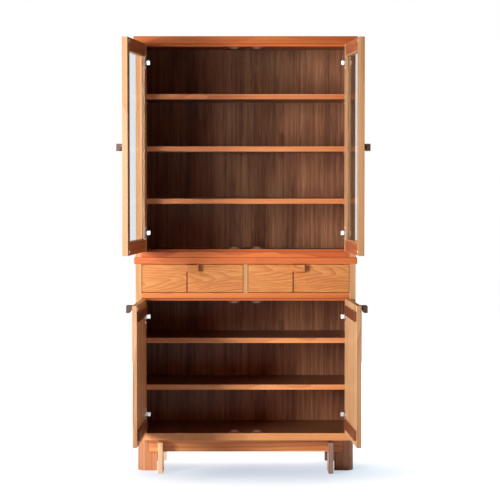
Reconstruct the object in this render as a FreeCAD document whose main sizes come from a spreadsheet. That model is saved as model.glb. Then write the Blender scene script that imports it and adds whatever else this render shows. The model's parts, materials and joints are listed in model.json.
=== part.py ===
import FreeCAD, Part
import os
import re
import Sketcher

# A tall two-part kitchen cupboard: an upper case with glazed doors, a lower case with two drawers
# and solid doors, and a low base of corner legs, fins and aprons. All six fronts are inset.
# Left and right are as seen from the front, +X is to the right, the front looks along -Y, and
# the origin is on the floor under the middle of the case's front plane, in which the doors hang.

# Driving dimensions: millimetres, and degrees for the angles at which the doors stand open.
SIZES = {
    # Case
    "case_wide": 900,
    "case_deep": 430,
    "side_thick": 25,
    "board_overhang": 6,
    "top_thick": 30,
    "upper_open_tall": 848,
    "upper_floor_thick": 22,
    "counter_thick": 28,
    "drawer_open_tall": 117,
    "deck_thick": 22,
    "lower_open_tall": 556,
    "bottom_thick": 30,
    "divider_thick": 18,
    "back_thick": 6,
    "back_inset": 20,
    "edge_ease": 0.8,
    "board_round": 4,
    "cut_overrun": 2,
    # Shelves and the pins that carry them
    "shelf_thick": 21,
    "shelf_setback": 38,
    "shelf_end_gap": 0.5,
    "pin_radius": 3,
    "pin_deep": 10,
    "pin_gap": 0.05,
    "pin_end_gap": 0.5,
    "pin_front_setback": 80,
    "pin_rear_setback": 60,
    "lug_long": 7,
    "lug_wide": 10,
    "lug_tall": 8,
    # Base
    "base_tall": 142,
    "apron_end_inset": 49,
    "apron_tall": 61,
    "apron_thick": 15,
    "front_apron_setback": 98,
    "rear_apron_setback": 25,
    "leg_wide": 80,
    "leg_wall": 22,
    "leg_round": 38,
    "fin_leg_gap": 8.5,
    "fin_thick": 19.5,
    "front_fin_setback": 25,
    "front_fin_long": 120,
    "rear_fin_setback": 5,
    "rear_fin_long": 50,
    "fin_top_gap": 13,
    # Doors
    "upper_door_thick": 22,
    "lower_door_thick": 18,
    "door_side_gap": 0.5,
    "door_ease": 0.5,
    "door_middle_gap": 4,
    "door_end_gap": 2,
    "upper_left_open_angle": 97.0,
    "upper_right_open_angle": 94.6,
    "lower_left_open_angle": 91.9,
    "lower_right_open_angle": 93.3,
    "stile_wide": 46,
    "rail_wide": 53,
    "glass_thick": 4,
    "glass_sink": 8.5,
    "glass_edge_gap": 1,
    "rabbet_wide": 6,
    "batten_proud": 9,
    "batten_tall": 38,
    "batten_end_inset": 25,
    "batten_free_inset": 18,
    "batten_hinge_inset": 55,
    "stop_gap": 0.5,
    "stop_deep": 12,
    "upper_stop_tall": 10,
    "lower_stop_tall": 12,
    # Pulls
    "pull_long": 50,
    "pull_deep": 24,
    "pull_tall": 28,
    "pull_land": 13,
    "pull_neck_tall": 11,
    "pull_ease": 1.5,
    "pull_free_inset": 6,
    "upper_pull_rise": 405,
    # Hinges
    "hinge_top_inset": 75,
    "hinge_bottom_inset": 75,
    "cup_centre": 22,
    "cup_radius": 17.5,
    "cup_deep": 12,
    "cup_wall": 2,
    "cup_floor": 1.5,
    "cup_gap": 0.05,
    "flange_radius": 18,
    "flange_thick": 1.2,
    "flange_wide": 18,
    "flange_tall": 54,
    "plate_thick": 2,
    "plate_tall": 48,
    "plate_near": 15,
    "plate_far": 53,
    "arm_tall": 16,
    "arm_thick": 12,
    "arm_near": 11,
    "arm_far": 63,
    "neck_near": 3,
    "neck_far": 15,
    "nose_sink": 9,
    "nose_inner": 22,
    "nose_outer": 34,
    # Magnetic catches and the plates that they hold
    "catch_middle": 46,
    "catch_wide": 50,
    "catch_taper": 12,
    "catch_tall": 11,
    "catch_deep": 14,
    "magnet_wide": 20,
    "magnet_tall": 7,
    "magnet_deep": 5,
    "strike_wide": 24,
    "strike_tall": 10,
    "strike_thick": 1.5,
    # Drawers
    "drawer_gap": 2,
    "drawer_front_thick": 20,
    "drawer_side_thick": 12,
    "drawer_box_tall": 91,
    "drawer_side_gap": 1,
    "drawer_run_gap": 0.3,
    "drawer_rear_gap": 1,
    "drawer_bottom_thick": 5,
    "drawer_bottom_rise": 6,
    "finger_wide": 50,
    "finger_deep": 6,
}

# How far up its compartment each shelf's upper face lies, as a share of the compartment's height.
SHELF_SHARES = {"upper": (0.2559, 0.5083, 0.7606), "lower": (0.3525, 0.6996)}

# Places that several pieces share, as formulas of the sizes.
HALF_WIDE = "case_wide / 2"
INNER = "(case_wide / 2 - side_thick)"
FRONT = "0"
REAR = "case_deep"
BACK_FACE = "(case_deep - back_inset - back_thick)"
LOWER_FLOOR = "(base_tall + bottom_thick)"
DECK_UNDER = f"({LOWER_FLOOR} + lower_open_tall)"
DECK_TOP = f"({DECK_UNDER} + deck_thick)"
COUNTER_UNDER = f"({DECK_TOP} + drawer_open_tall)"
COUNTER_TOP = f"({COUNTER_UNDER} + counter_thick)"
UPPER_FLOOR = f"({COUNTER_TOP} + upper_floor_thick)"
TOP_UNDER = f"({UPPER_FLOOR} + upper_open_tall)"
TOP = f"({TOP_UNDER} + top_thick)"
HINGE_EDGE = f"({INNER} - door_side_gap)"
DOOR_WIDE = f"({HINGE_EDGE} - door_middle_gap / 2)"
SHELF_FRONT = f"({FRONT} + shelf_setback)"

LEFT = -1
RIGHT = 1
SIDES = (("left", LEFT), ("right", RIGHT))

doc = FreeCAD.newDocument("KitchenCupboard")
sheet = doc.addObject("Spreadsheet::Sheet", "Sizes")
for row, (alias, value) in enumerate(SIZES.items(), start=1):
    sheet.set(f"A{row}", alias)
    sheet.set(f"B{row}", str(value))
    sheet.setAlias(f"B{row}", alias)
doc.recompute()

pieces = []


def cells(formula):
    """The formula with each size's name written as a cell of the sheet."""
    return re.sub(r"[a-z]+(_[a-z]+)+", r"Sizes.\g<0>", formula)


def piece(label):
    """A new piece of the cupboard, named like its file."""
    body = doc.addObject("PartDesign::Body", label)
    body.Label = label
    pieces.append(body)
    return body


def mirrored(side, near, far):
    """A stretch from near to far on the right, or its mirror image on the left."""
    if side == RIGHT:
        return near, far
    return f"-({far})", f"-({near})"


def from_end(end, near, far):
    """A stretch of the depth, from near to far away from the case's front or rear plane."""
    if end == "front":
        return near, far
    return f"{REAR} - ({far})", f"{REAR} - ({near})"


def block(body, name, across, along, up, cut=False):
    """A box between two planes on each axis, added to the piece or cut from it."""
    kind = "PartDesign::SubtractiveBox" if cut else "PartDesign::AdditiveBox"
    box = body.newObject(kind, name)
    for size, axis, (low, high) in (("Length", "x", across), ("Width", "y", along), ("Height", "z", up)):
        box.setExpression(size, cells(f"({high}) - ({low})"))
        box.setExpression(f"Placement.Base.{axis}", cells(low))
    return box


def rod(body, name, axis, radius, length, start, cut=False):
    """A cylinder along x or y from its start point, added to the piece or cut from it."""
    kind = "PartDesign::SubtractiveCylinder" if cut else "PartDesign::AdditiveCylinder"
    round_bar = body.newObject(kind, name)
    turn = FreeCAD.Rotation(FreeCAD.Vector(0, 1, 0), 90)
    if axis == "y":
        turn = FreeCAD.Rotation(FreeCAD.Vector(1, 0, 0), -90)
    round_bar.Placement = FreeCAD.Placement(FreeCAD.Vector(0, 0, 0), turn)
    round_bar.setExpression("Radius", cells(radius))
    round_bar.setExpression("Height", cells(length))
    for letter, place in zip("xyz", start):
        round_bar.setExpression(f"Placement.Base.{letter}", cells(place))
    return round_bar


def outline(body, plane, name, points, offset):
    """A closed outline of straight lines on one of the piece's own planes, no point below zero."""
    sketch = body.newObject("Sketcher::SketchObject", name)
    support = [feature for feature in body.Origin.OriginFeatures if feature.Role == plane][0]
    sketch.AttachmentSupport = (support, [""])
    sketch.MapMode = "FlatFace"
    count = len(points)
    starts = [(math_value(across), math_value(up)) for across, up in points]
    for index in range(count):
        first = FreeCAD.Vector(*starts[index], 0)
        last = FreeCAD.Vector(*starts[(index + 1) % count], 0)
        sketch.addGeometry(Part.LineSegment(first, last), False)
    for index in range(count):
        sketch.addConstraint(Sketcher.Constraint("Coincident", index, 2, (index + 1) % count, 1))
    for index, (across, up) in enumerate(points):
        for kind, place, axis in (("DistanceX", across, -2), ("DistanceY", up, -1)):
            if place == "0":
                sketch.addConstraint(Sketcher.Constraint("PointOnObject", index, 1, axis))
                continue
            value = math_value(place)
            number = sketch.addConstraint(Sketcher.Constraint(kind, -1, 1, index, 1, value))
            label = f"{kind.lower()}{index}"
            sketch.renameConstraint(number, label)
            sketch.setExpression(f"Constraints.{label}", cells(place))
    for letter, place in zip("xyz", offset):
        sketch.setExpression(f"AttachmentOffset.Base.{letter}", cells(place))
    return sketch


def math_value(formula):
    """The number that a formula of the sizes gives, for the first drawing of an outline."""
    return float(doc.Sizes.evalExpression(cells(formula)))


def pad(body, name, sketch, length):
    """The outline pushed out along its plane's normal."""
    solid = body.newObject("PartDesign::Pad", name)
    solid.Profile = (sketch, [""])
    solid.setExpression("Length", cells(length))
    return solid


def ease(body, name, base, radius, directions="xyz"):
    """Rounds the straight edges that run along the given directions."""
    doc.recompute()
    chosen = []
    for number, edge in enumerate(base.Shape.Edges, start=1):
        if len(edge.Vertexes) < 2:
            continue
        run = edge.Vertexes[1].Point - edge.Vertexes[0].Point
        sizes = [abs(run.x), abs(run.y), abs(run.z)]
        longest = max(sizes)
        if longest > 0.999 * run.Length and "xyz"[sizes.index(longest)] in directions:
            chosen.append(f"Edge{number}")
    rounding = body.newObject("PartDesign::Fillet", name)
    rounding.Base = (base, chosen)
    rounding.setExpression("Radius", cells(radius))
    return rounding


def board(label, across, along, up, directions="xyz", radius="edge_ease"):
    """A plain board with eased edges."""
    body = piece(label)
    blank = block(body, f"{label}_blank", across, along, up)
    ease(body, f"{label}_ease", blank, radius, directions)
    return body


def hang(body, level, side):
    """Hangs a door's piece on its pivot line and turns it to where the door stands open."""
    swing = FreeCAD.Rotation(FreeCAD.Vector(0, 0, side), 1)
    body.Placement = FreeCAD.Placement(FreeCAD.Vector(0, 0, 0), swing)
    name = "left" if side == LEFT else "right"
    body.setExpression("Placement.Rotation.Angle", cells(f"{level}_{name}_open_angle"))
    body.setExpression("Placement.Base.x", cells(HINGE_EDGE if side == RIGHT else f"-{HINGE_EDGE}"))
    body.setExpression("Placement.Base.y", cells(FRONT))


def shelf_tops():
    """The height of each shelf's upper face, by the case that it is in."""
    floors = {"upper": UPPER_FLOOR, "lower": LOWER_FLOOR}
    tops = {}
    for level, shares in SHELF_SHARES.items():
        tops[level] = [f"({floors[level]} + {share} * {level}_open_tall)" for share in shares]
    return tops


def pin_places():
    """Where the pins stand along the depth of the case."""
    return f"({FRONT} + pin_front_setback)", f"({BACK_FACE} - pin_rear_setback)"


def pin_height(top):
    """The height of a pin's middle under a shelf."""
    return f"({top} - shelf_thick - lug_tall / 2)"


def side_panels():
    """The four side panels, with the bores of the shelf pins."""
    stretches = {"upper": (COUNTER_TOP, TOP_UNDER), "lower": (LOWER_FLOOR, COUNTER_UNDER)}
    for level, up in stretches.items():
        for name, side in SIDES:
            label = f"{level}_side_{name}"
            body = board(label, mirrored(side, INNER, HALF_WIDE), (FRONT, REAR), up, "z")
            for row, top in enumerate(shelf_tops()[level]):
                for column, place in enumerate(pin_places()):
                    near, far = mirrored(side, INNER, f"{INNER} + pin_deep + pin_end_gap")
                    start = (near, place, pin_height(top))
                    bore = f"{label}_bore_{row}_{column}"
                    rod(body, bore, "x", "pin_radius + pin_gap", f"({far}) - ({near})", start, cut=True)


def case_boards():
    """The boards that lie across the cupboard, its divider and its two thin backs."""
    wide = mirrored(RIGHT, f"-({HALF_WIDE} + board_overhang)", f"{HALF_WIDE} + board_overhang")
    deep = (f"{FRONT} - board_overhang", REAR)
    inside = (f"-{INNER}", INNER)
    to_back = (FRONT, BACK_FACE)
    board("top_board", wide, deep, (TOP_UNDER, TOP))
    board("counter_board", wide, deep, (COUNTER_UNDER, COUNTER_TOP), radius="board_round")
    board("upper_floor", inside, to_back, (COUNTER_TOP, UPPER_FLOOR), "x")
    board("drawer_deck", inside, to_back, (DECK_UNDER, DECK_TOP), "x")
    board("bottom_board", (f"-{HALF_WIDE}", HALF_WIDE), (FRONT, REAR), ("base_tall", LOWER_FLOOR))
    middle = ("-divider_thick / 2", "divider_thick / 2")
    board("drawer_divider", middle, to_back, (DECK_TOP, COUNTER_UNDER), "z")
    back = (BACK_FACE, f"{BACK_FACE} + back_thick")
    block(piece("upper_back_panel"), "upper_back_sheet", inside, back, (COUNTER_TOP, TOP_UNDER))
    block(piece("lower_back_panel"), "lower_back_sheet", inside, back, (LOWER_FLOOR, COUNTER_UNDER))


def shelves():
    """The five shelves and the pins that carry them."""
    across = (f"-({INNER} - shelf_end_gap)", f"{INNER} - shelf_end_gap")
    pins = piece("shelf_pins")
    for level, tops in shelf_tops().items():
        for row, top in enumerate(tops):
            up = (f"{top} - shelf_thick", top)
            board(f"{level}_shelf_{row + 1}", across, (SHELF_FRONT, BACK_FACE), up, "x")
            for column, place in enumerate(pin_places()):
                for name, side in SIDES:
                    tag = f"{level}_{row}_{column}_{name}"
                    lug_up = (f"{top} - shelf_thick - lug_tall", f"{top} - shelf_thick")
                    lug_along = (f"{place} - lug_wide / 2", f"{place} + lug_wide / 2")
                    lug_across = mirrored(side, f"{INNER} - lug_long", INNER)
                    block(pins, f"lug_{tag}", lug_across, lug_along, lug_up)
                    near, far = mirrored(side, f"{INNER} - lug_long / 2", f"{INNER} + pin_deep")
                    start = (near, place, pin_height(top))
                    rod(pins, f"pin_{tag}", "x", "pin_radius", f"({far}) - ({near})", start)


def base():
    """The aprons, the rounded corner legs and the fins that reach towards the front and rear."""
    apron_x = (f"apron_end_inset - {HALF_WIDE}", f"{HALF_WIDE} - apron_end_inset")
    apron_up = ("base_tall - apron_tall", "base_tall")
    legs = piece("corner_legs")
    fins = piece("leg_fins")
    corners = []
    hollows = []
    for end in ("front", "rear"):
        leg_face = f"({end}_apron_setback + apron_thick)"
        along = from_end(end, f"{end}_apron_setback", leg_face)
        board(f"{end}_apron", apron_x, along, apron_up)
        leg_y = from_end(end, leg_face, f"{leg_face} + leg_wide")
        inner_y = from_end(end, f"{leg_face} + leg_wall", f"{leg_face} + leg_wide + cut_overrun")
        face_y, _ = from_end(end, leg_face, leg_face)
        hollow_y, _ = from_end(end, f"{leg_face} + leg_wall", f"{leg_face} + leg_wall")
        fin_y = from_end(end, f"{end}_fin_setback", f"{end}_fin_setback + {end}_fin_long")
        for name, side in SIDES:
            tag = f"{end}_{name}"
            leg_x = mirrored(side, f"{HALF_WIDE} - leg_wide", HALF_WIDE)
            block(legs, f"leg_{tag}", leg_x, leg_y, ("0", "base_tall"))
            inner_x = mirrored(side, f"{HALF_WIDE} - leg_wide - cut_overrun", f"{HALF_WIDE} - leg_wall")
            through = ("-cut_overrun", "base_tall + cut_overrun")
            block(legs, f"hollow_{tag}", inner_x, inner_y, through, cut=True)
            corners.append((f"{side} * {HALF_WIDE}", face_y))
            hollows.append((f"{side} * ({HALF_WIDE} - leg_wall)", hollow_y))
            fin_outer = f"({HALF_WIDE} - leg_wide - fin_leg_gap)"
            fin_x = mirrored(side, f"{fin_outer} - fin_thick", fin_outer)
            block(fins, f"fin_{tag}", fin_x, fin_y, ("0", "base_tall - fin_top_gap"))
            notch_x = mirrored(side, f"{fin_outer} - fin_thick - cut_overrun", f"{fin_outer} + cut_overrun")
            block(fins, f"notch_{tag}", notch_x, along, apron_up, cut=True)
    round_corners(legs, "leg_corners", corners, "leg_round")
    round_corners(legs, "leg_hollows", hollows, "leg_round - leg_wall")
    ease(fins, "fin_ease", fins.Tip, "edge_ease")


def round_corners(body, name, corners, radius):
    """Rounds the upright edges that stand at the given places."""
    doc.recompute()
    places = [(math_value(across), math_value(along)) for across, along in corners]
    near = math_value("edge_ease")
    base_feature = body.Tip
    chosen = []
    for number, edge in enumerate(base_feature.Shape.Edges, start=1):
        middle = edge.CenterOfMass
        if any(abs(middle.x - across) + abs(middle.y - along) < near for across, along in places):
            chosen.append(f"Edge{number}")
    rounding = body.newObject("PartDesign::Fillet", name)
    rounding.Base = (base_feature, chosen)
    rounding.setExpression("Radius", cells(radius))


def door_face(level):
    """How far back the inner faces of a pair of closed doors lie."""
    return f"({FRONT} + {level}_door_thick)"


def door_stops():
    """The strips behind the closed doors, under the top, on the floor and under the deck."""
    inside = (f"-{INNER}", INNER)
    along = {}
    for level in ("upper", "lower"):
        along[level] = (f"{door_face(level)} + stop_gap", f"{door_face(level)} + stop_gap + stop_deep")
    upper = piece("upper_door_stops")
    block(upper, "top_stop", inside, along["upper"], (f"{TOP_UNDER} - upper_stop_tall", TOP_UNDER))
    block(upper, "floor_stop", inside, along["upper"], (UPPER_FLOOR, f"{UPPER_FLOOR} + upper_stop_tall"))
    ease(upper, "upper_stop_ease", upper.Tip, "edge_ease", "x")
    board("lower_door_stop", inside, along["lower"], (f"{DECK_UNDER} - lower_stop_tall", DECK_UNDER), "x")


def catch_rows():
    """Each row of catches: its level, the face that it sits on, and whether it hangs from it."""
    return (
        ("upper", "top", f"({TOP_UNDER} - upper_stop_tall)", True),
        ("upper", "bottom", f"({UPPER_FLOOR} + upper_stop_tall)", False),
        ("lower", "top", f"({DECK_UNDER} - lower_stop_tall)", True),
        ("lower", "bottom", LOWER_FLOOR, False),
    )


def catches():
    """Eight tapering catches, each with a magnet in its front."""
    bodies = piece("door_catches")
    magnets = piece("catch_magnets")
    for level, end, seat, hanging in catch_rows():
        near = f"({door_face(level)} + strike_thick + stop_gap)"
        low = f"({seat} - catch_tall)" if hanging else seat
        narrow = ("catch_taper", "catch_wide - catch_taper")
        wide = ("0", "catch_wide")
        foot, head = (narrow, wide) if hanging else (wide, narrow)
        points = ((foot[0], "0"), (foot[1], "0"), (head[1], "catch_tall"), (head[0], "catch_tall"))
        for name, side in SIDES:
            tag = f"{level}_{end}_{name}"
            middle = "catch_middle" if side == RIGHT else "-catch_middle"
            offset = (f"{middle} - catch_wide / 2", low, f"-({near} + catch_deep)")
            sketch = outline(bodies, "XZ_Plane", f"catch_outline_{tag}", points, offset)
            pad(bodies, f"catch_{tag}", sketch, "catch_deep")
            across = (f"{middle} - magnet_wide / 2", f"{middle} + magnet_wide / 2")
            mid = f"({low} + catch_tall / 2)"
            up = (f"{mid} - magnet_tall / 2", f"{mid} + magnet_tall / 2")
            socket = (f"{near} - cut_overrun", f"{near} + magnet_deep")
            block(bodies, f"socket_{tag}", across, socket, up, cut=True)
            block(magnets, f"magnet_{tag}", across, (near, f"{near} + magnet_deep"), up)


def door_span(level):
    """The lower and upper ends of a door."""
    if level == "upper":
        return f"({UPPER_FLOOR} + door_end_gap)", f"({TOP_UNDER} - door_end_gap)"
    return f"({LOWER_FLOOR} + door_end_gap)", f"({DECK_UNDER} - door_end_gap)"


def hinge_heights(level):
    """The heights of a door's two hinges."""
    low, high = door_span(level)
    return f"({low} + hinge_bottom_inset)", f"({high} - hinge_top_inset)"


def hinge_mounts():
    """The plates on the side panels, each with the arm whose nose enters the cup of a closed door."""
    mounts = piece("hinge_mounts")
    for level in ("upper", "lower"):
        for row, height in enumerate(hinge_heights(level)):
            for name, side in SIDES:
                tag = f"{level}_{row}_{name}"
                stretches = (
                    ("plate", "0", "plate_thick", "plate_near", "plate_far", "plate_tall"),
                    ("arm", "0", "arm_thick", "arm_near", "arm_far", "arm_tall"),
                    ("neck", "0", "nose_outer + door_side_gap", "neck_near", "neck_far", "arm_tall"),
                    ("nose", "nose_inner + door_side_gap", "nose_outer + door_side_gap", "-nose_sink",
                     "neck_far", "arm_tall"),
                )
                for word, inner, outer, near, far, tall in stretches:
                    across = mirrored(side, f"{INNER} - ({outer})", f"{INNER} - ({inner})")
                    along = (f"{door_face(level)} + ({near})", f"{door_face(level)} + {far}")
                    up = (f"{height} - {tall} / 2", f"{height} + {tall} / 2")
                    block(mounts, f"{word}_{tag}", across, along, up)


def cup_bores(body, level, side):
    """The two round pockets in a door's inner face that take the hinge cups."""
    middle = "cup_centre" if side == LEFT else "-cup_centre"
    for row, height in enumerate(hinge_heights(level)):
        start = (middle, f"{level}_door_thick - cup_deep", height)
        rod(body, f"{body.Label}_bore_{row}", "y", "cup_radius + cup_gap", "cup_deep + cut_overrun", start,
            cut=True)


def door_hardware(level, name, side):
    """A door's two hinge cups with their flanges, and the plates that the catches hold."""
    body = piece(f"{level}_{name}_door_hardware")
    reach = -side
    middle = "cup_centre" if side == LEFT else "-cup_centre"
    face = f"{level}_door_thick"
    for row, height in enumerate(hinge_heights(level)):
        tag = f"{level}_{name}_{row}"
        rod(body, f"cup_{tag}", "y", "cup_radius", "cup_deep", (middle, f"{face} - cup_deep", height))
        rod(body, f"rim_{tag}", "y", "flange_radius", "flange_thick", (middle, face, height))
        across = (f"{middle} - flange_wide / 2", f"{middle} + flange_wide / 2")
        up = (f"{height} - flange_tall / 2", f"{height} + flange_tall / 2")
        block(body, f"ears_{tag}", across, (face, f"{face} + flange_thick"), up)
        start = (middle, f"{face} - cup_deep + cup_floor", height)
        rod(body, f"hollow_{tag}", "y", "cup_radius - cup_wall", "cup_deep + flange_thick", start, cut=True)
    for row_level, end, seat, hanging in catch_rows():
        if row_level != level:
            continue
        strike_mid = f"({seat} - catch_tall / 2)" if hanging else f"({seat} + catch_tall / 2 + door_end_gap)"
        across = mirrored(reach, f"{HINGE_EDGE} - catch_middle - strike_wide / 2",
                          f"{HINGE_EDGE} - catch_middle + strike_wide / 2")
        up = (f"{strike_mid} - strike_tall / 2", f"{strike_mid} + strike_tall / 2")
        block(body, f"strike_{level}_{name}_{end}", across, (face, f"{face} + strike_thick"), up)
    hang(body, level, side)


def pull(label, across_start, face, top):
    """A block pull with a flat top, a square nose and an underside that slopes up to the front."""
    body = piece(label)
    points = (
        ("0", "0"),
        ("pull_land", "0"),
        ("pull_deep", "pull_tall - pull_neck_tall"),
        ("pull_deep", "pull_tall"),
        ("0", "pull_tall"),
    )
    offset = (f"{face} - pull_deep", f"{top} - pull_tall", across_start)
    sketch = outline(body, "YZ_Plane", f"{label}_outline", points, offset)
    solid = pad(body, f"{label}_solid", sketch, "pull_long")
    doc.recompute()
    rounding = body.newObject("PartDesign::Fillet", f"{label}_ease")
    rounding.Base = (solid, [""])
    rounding.UseAllEdges = True
    rounding.setExpression("Radius", cells("pull_ease"))
    return body


def door_pull(level, name, side):
    """The pull near a door's free edge."""
    low, high = door_span(level)
    top = high if level == "lower" else f"({low} + upper_pull_rise + pull_tall)"
    far = f"({DOOR_WIDE} - pull_free_inset)"
    start, _ = mirrored(-side, f"{far} - pull_long", far)
    body = pull(f"{level}_{name}_door_pull", start, "0", top)
    hang(body, level, side)


def upper_door(name, side):
    """A glazed door: two stiles, two rails, a pane in a rabbet and the beads that hold it."""
    reach = -side
    low, high = door_span("upper")
    through = ("0", "upper_door_thick")
    pane_face = "(upper_door_thick - glass_sink)"
    rabbet = (f"{pane_face} - glass_thick", "upper_door_thick + cut_overrun")
    door = f"upper_{name}_door"
    stiles = piece(f"{door}_stiles")
    hinge_stile = mirrored(reach, "0", "stile_wide")
    free_stile = mirrored(reach, f"{DOOR_WIDE} - stile_wide", DOOR_WIDE)
    block(stiles, f"{door}_hinge_stile", hinge_stile, through, (low, high))
    block(stiles, f"{door}_free_stile", free_stile, through, (low, high))
    ease(stiles, f"{door}_stile_ease", stiles.Tip, "door_ease", "z")
    opening_x = ("stile_wide - rabbet_wide", f"{DOOR_WIDE} - stile_wide + rabbet_wide")
    opening_z = (f"{low} + rail_wide - rabbet_wide", f"{high} - rail_wide + rabbet_wide")
    block(stiles, f"{door}_stile_rabbet", mirrored(reach, *opening_x), rabbet, opening_z, cut=True)
    cup_bores(stiles, "upper", side)
    hang(stiles, "upper", side)
    between = mirrored(reach, "stile_wide", f"{DOOR_WIDE} - stile_wide")
    for end, up in (("top", (f"{high} - rail_wide", high)), ("bottom", (low, f"{low} + rail_wide"))):
        rail = board(f"{door}_{end}_rail", between, through, up, "x", "door_ease")
        block(rail, f"{door}_{end}_rabbet", mirrored(reach, *opening_x), rabbet, opening_z, cut=True)
        hang(rail, "upper", side)
    pane = piece(f"{door}_glass")
    pane_x = (f"{opening_x[0]} + glass_edge_gap", f"{opening_x[1]} - glass_edge_gap")
    pane_z = (f"{opening_z[0]} + glass_edge_gap", f"{opening_z[1]} - glass_edge_gap")
    block(pane, f"{door}_pane", mirrored(reach, *pane_x), (f"{pane_face} - glass_thick", pane_face), pane_z)
    hang(pane, "upper", side)
    beads = piece(f"{door}_beads")
    bead_y = (pane_face, "upper_door_thick")
    near_bead = mirrored(reach, opening_x[0], "stile_wide")
    far_bead = mirrored(reach, f"{DOOR_WIDE} - stile_wide", opening_x[1])
    block(beads, f"{door}_near_bead", near_bead, bead_y, opening_z)
    block(beads, f"{door}_far_bead", far_bead, bead_y, opening_z)
    block(beads, f"{door}_low_bead", between, bead_y, (opening_z[0], f"{low} + rail_wide"))
    block(beads, f"{door}_high_bead", between, bead_y, (f"{high} - rail_wide", opening_z[1]))
    hang(beads, "upper", side)


def lower_door(name, side):
    """A solid door with two battens across its inner face."""
    reach = -side
    low, high = door_span("lower")
    door = f"lower_{name}_door"
    slab = board(f"{door}_slab", mirrored(reach, "0", DOOR_WIDE), ("0", "lower_door_thick"), (low, high),
                 radius="door_ease")
    cup_bores(slab, "lower", side)
    hang(slab, "lower", side)
    battens = piece(f"{door}_battens")
    across = mirrored(reach, "batten_hinge_inset", f"{DOOR_WIDE} - batten_free_inset")
    along = ("lower_door_thick", "lower_door_thick + batten_proud")
    foot = f"({low} + batten_end_inset)"
    head = f"({high} - batten_end_inset)"
    block(battens, f"{door}_low_batten", across, along, (foot, f"{foot} + batten_tall"))
    block(battens, f"{door}_high_batten", across, along, (f"{head} - batten_tall", head))
    ease(battens, f"{door}_batten_ease", battens.Tip, "edge_ease")
    hang(battens, "lower", side)


def drawer(name, side):
    """A drawer: its front with a finger channel under the pull, two sides, a back and a bottom."""
    run = f"({DECK_TOP} + drawer_run_gap)"
    front_low = f"({DECK_TOP} + drawer_gap)"
    front_high = f"({COUNTER_UNDER} - drawer_gap)"
    front_inner = f"({FRONT} + drawer_front_thick)"
    box_rear = f"({BACK_FACE} - drawer_rear_gap)"
    front_x = mirrored(side, "divider_thick / 2 + drawer_gap", f"{INNER} - drawer_gap")
    front = board(f"{name}_drawer_front", front_x, (FRONT, front_inner), (front_low, front_high))
    middle = f"((divider_thick / 2 + {INNER}) / 2)"
    channel_x = mirrored(side, f"{middle} - finger_wide / 2", f"{middle} + finger_wide / 2")
    channel_y = (f"{FRONT} - cut_overrun", f"{FRONT} + finger_deep")
    channel_z = (f"{front_low} - cut_overrun", f"{front_high} - pull_neck_tall")
    block(front, f"{name}_finger_channel", channel_x, channel_y, channel_z, cut=True)
    start, _ = mirrored(side, f"{middle} - pull_long / 2", f"{middle} + pull_long / 2")
    pull(f"{name}_drawer_pull", start, FRONT, front_high)
    near = "(divider_thick / 2 + drawer_side_gap)"
    far = f"({INNER} - drawer_side_gap)"
    near_wall = (near, f"{near} + drawer_side_thick")
    far_wall = (f"{far} - drawer_side_thick", far)
    up = (run, f"{run} + drawer_box_tall")
    walls = piece(f"{name}_drawer_sides")
    block(walls, f"{name}_near_side", mirrored(side, *near_wall), (front_inner, box_rear), up)
    block(walls, f"{name}_far_side", mirrored(side, *far_wall), (front_inner, box_rear), up)
    ease(walls, f"{name}_side_ease", walls.Tip, "edge_ease", "y")
    inside = mirrored(side, near_wall[1], far_wall[0])
    floor_low = f"({run} + drawer_bottom_rise)"
    floor_top = f"({floor_low} + drawer_bottom_thick)"
    rear_wall = (f"{box_rear} - drawer_side_thick", box_rear)
    board(f"{name}_drawer_back", inside, rear_wall, (floor_top, f"{run} + drawer_box_tall"), "x")
    block(piece(f"{name}_drawer_bottom"), f"{name}_bottom_sheet", inside, (front_inner, box_rear),
          (floor_low, floor_top))


side_panels()
case_boards()
shelves()
base()
door_stops()
catches()
hinge_mounts()
for side_name, side_sign in SIDES:
    upper_door(side_name, side_sign)
    lower_door(side_name, side_sign)
    for door_level in ("upper", "lower"):
        door_hardware(door_level, side_name, side_sign)
        door_pull(door_level, side_name, side_sign)
    drawer(side_name, side_sign)
doc.recompute()

for item in doc.Objects:
    if "Invalid" in item.State or "Error" in item.State:
        raise RuntimeError(f"{item.Name} did not build")
for item in pieces:
    if item.Shape.isNull() or not item.Shape.isValid():
        raise RuntimeError(f"{item.Label} has no valid shape")
os.makedirs("parts", exist_ok=True)
for item in pieces:
    item.Shape.exportStep(os.path.join("parts", f"{item.Label}.step"))
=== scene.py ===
import json
import math

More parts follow.
